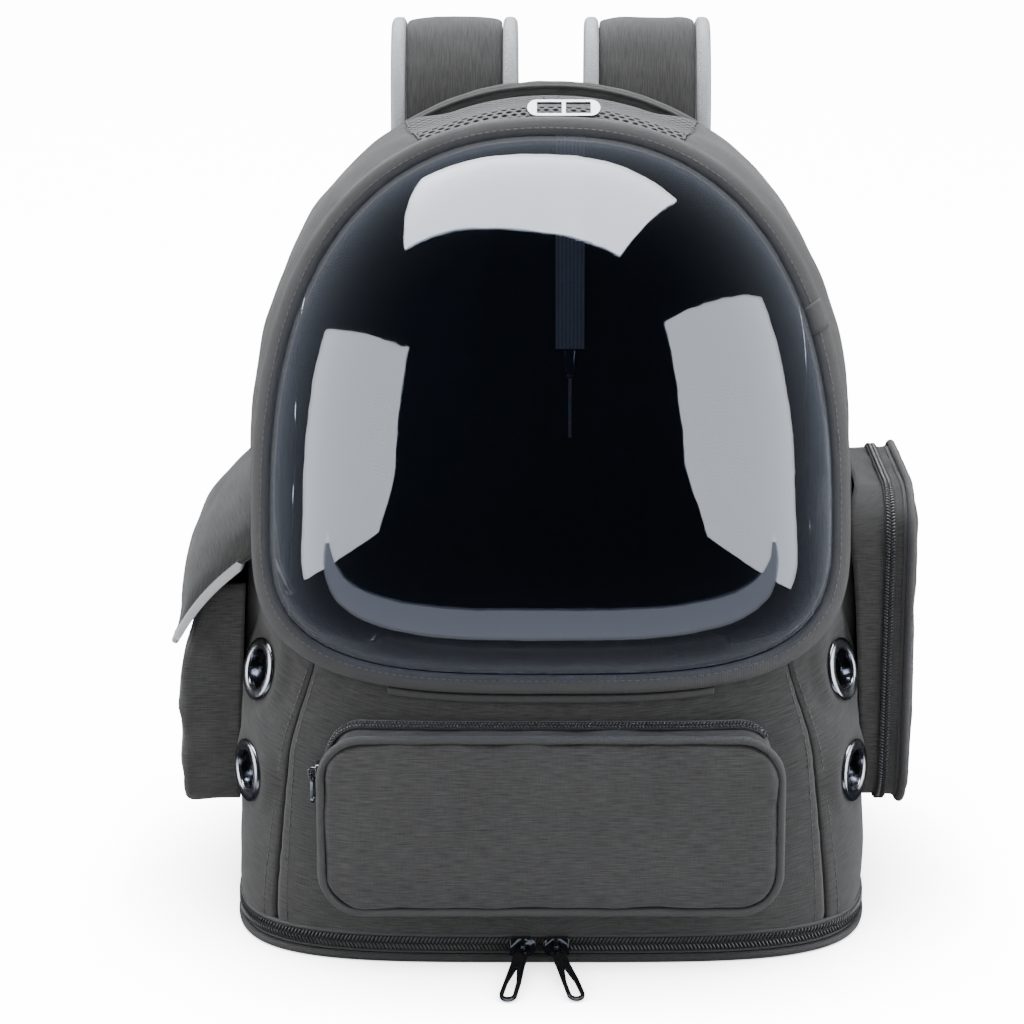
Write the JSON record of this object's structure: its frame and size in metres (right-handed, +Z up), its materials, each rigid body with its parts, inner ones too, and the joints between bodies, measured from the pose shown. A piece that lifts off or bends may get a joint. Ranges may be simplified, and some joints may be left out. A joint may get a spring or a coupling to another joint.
{
  "type": "pet carrier backpack",
  "caption": "Soft backpack for carrying a small pet, with a clear bubble window, air holes, a mesh top, zipped pockets, a flapped side pocket and padded shoulder straps.",
  "frame": {"origin": "middle of the flat underside of the base", "axes": "+Z up, -Y towards the bubble window, +X towards the zipped side pocket"},
  "size_m": [0.395, 0.357, 0.4603],
  "materials": {
    "body_cloth": "marled grey woven cloth",
    "pad_cloth": "marled grey woven cloth over padding",
    "trim": "dark grey woven binding",
    "dark_trim": "near black piping",
    "pale_trim": "pale grey binding with stitching",
    "mesh_cloth": "open spacer mesh",
    "zip_coil": "black coil zip",
    "webbing": "ribbed grey webbing",
    "clear_window": "clear, polished",
    "gunmetal": "dark polished metal",
    "black_metal": "gloss black"
  },
  "bodies": {
    "carrier": {"window_binding": "trim", "front_panel": "body_cloth", "side_panel_left": "body_cloth", "side_panel_right": "body_cloth", "eyelet_left_upper": "gunmetal", "eyelet_left_lower": "gunmetal", "eyelet_right_upper": "gunmetal", "eyelet_right_lower": "gunmetal", "mesh_top": "mesh_cloth", "window_dome": "clear_window", "lower_strip": "trim", "base_tray": "trim", "base_piping": "dark_trim", "base_zip": "zip_coil", "rear_roll": "body_cloth", "back_panel": "pad_cloth", "front_pocket": "body_cloth", "front_pocket_piping": "trim", "front_pocket_zip": "zip_coil", "right_pocket": "body_cloth", "right_pocket_piping": "trim", "right_pocket_zip": "zip_coil", "left_pocket": "body_cloth", "left_flap": "body_cloth", "left_flap_binding": "pale_trim", "base_slider_left": "black_metal", "base_slider_right": "black_metal", "front_pocket_slider": "gunmetal", "strap_left": "pad_cloth", "strap_binding_left_inner": "pale_trim", "strap_binding_left_outer": "pale_trim", "strap_webbing_left": "webbing", "strap_right": "pad_cloth", "strap_binding_right_inner": "pale_trim", "strap_binding_right_outer": "pale_trim", "strap_webbing_right": "webbing", "leash_webbing": "webbing", "leash_clip": "black_metal", "leash_tail": "webbing", "top_slide": "gunmetal"},
    "base_pull_left": {"base_pull_left": "black_metal"},
    "base_pull_right": {"base_pull_right": "black_metal"},
    "front_pocket_pull": {"front_pocket_pull": "gunmetal"}
  },
  "joints": [
    {"name": "base_pull_left_swing", "type": "hinge", "parent": "carrier", "child": "base_pull_left", "pos_m": [-0.0145, -0.1299, 0.0108], "axis": [0.982, -0.1889, 0], "range_deg": [-68, 75]},
    {"name": "base_pull_right_swing", "type": "hinge", "parent": "carrier", "child": "base_pull_right", "pos_m": [0.0026, -0.1299, 0.0108], "axis": [0.9638, 0.2667, 0], "range_deg": [-68, 75]},
    {"name": "front_pocket_pull_swing", "type": "hinge", "parent": "carrier", "child": "front_pocket_pull", "pos_m": [-0.1216, -0.12543, 0.1066], "axis": [0.1197, 0.9928, 0], "range_deg": [-4, 110]}
  ]
}
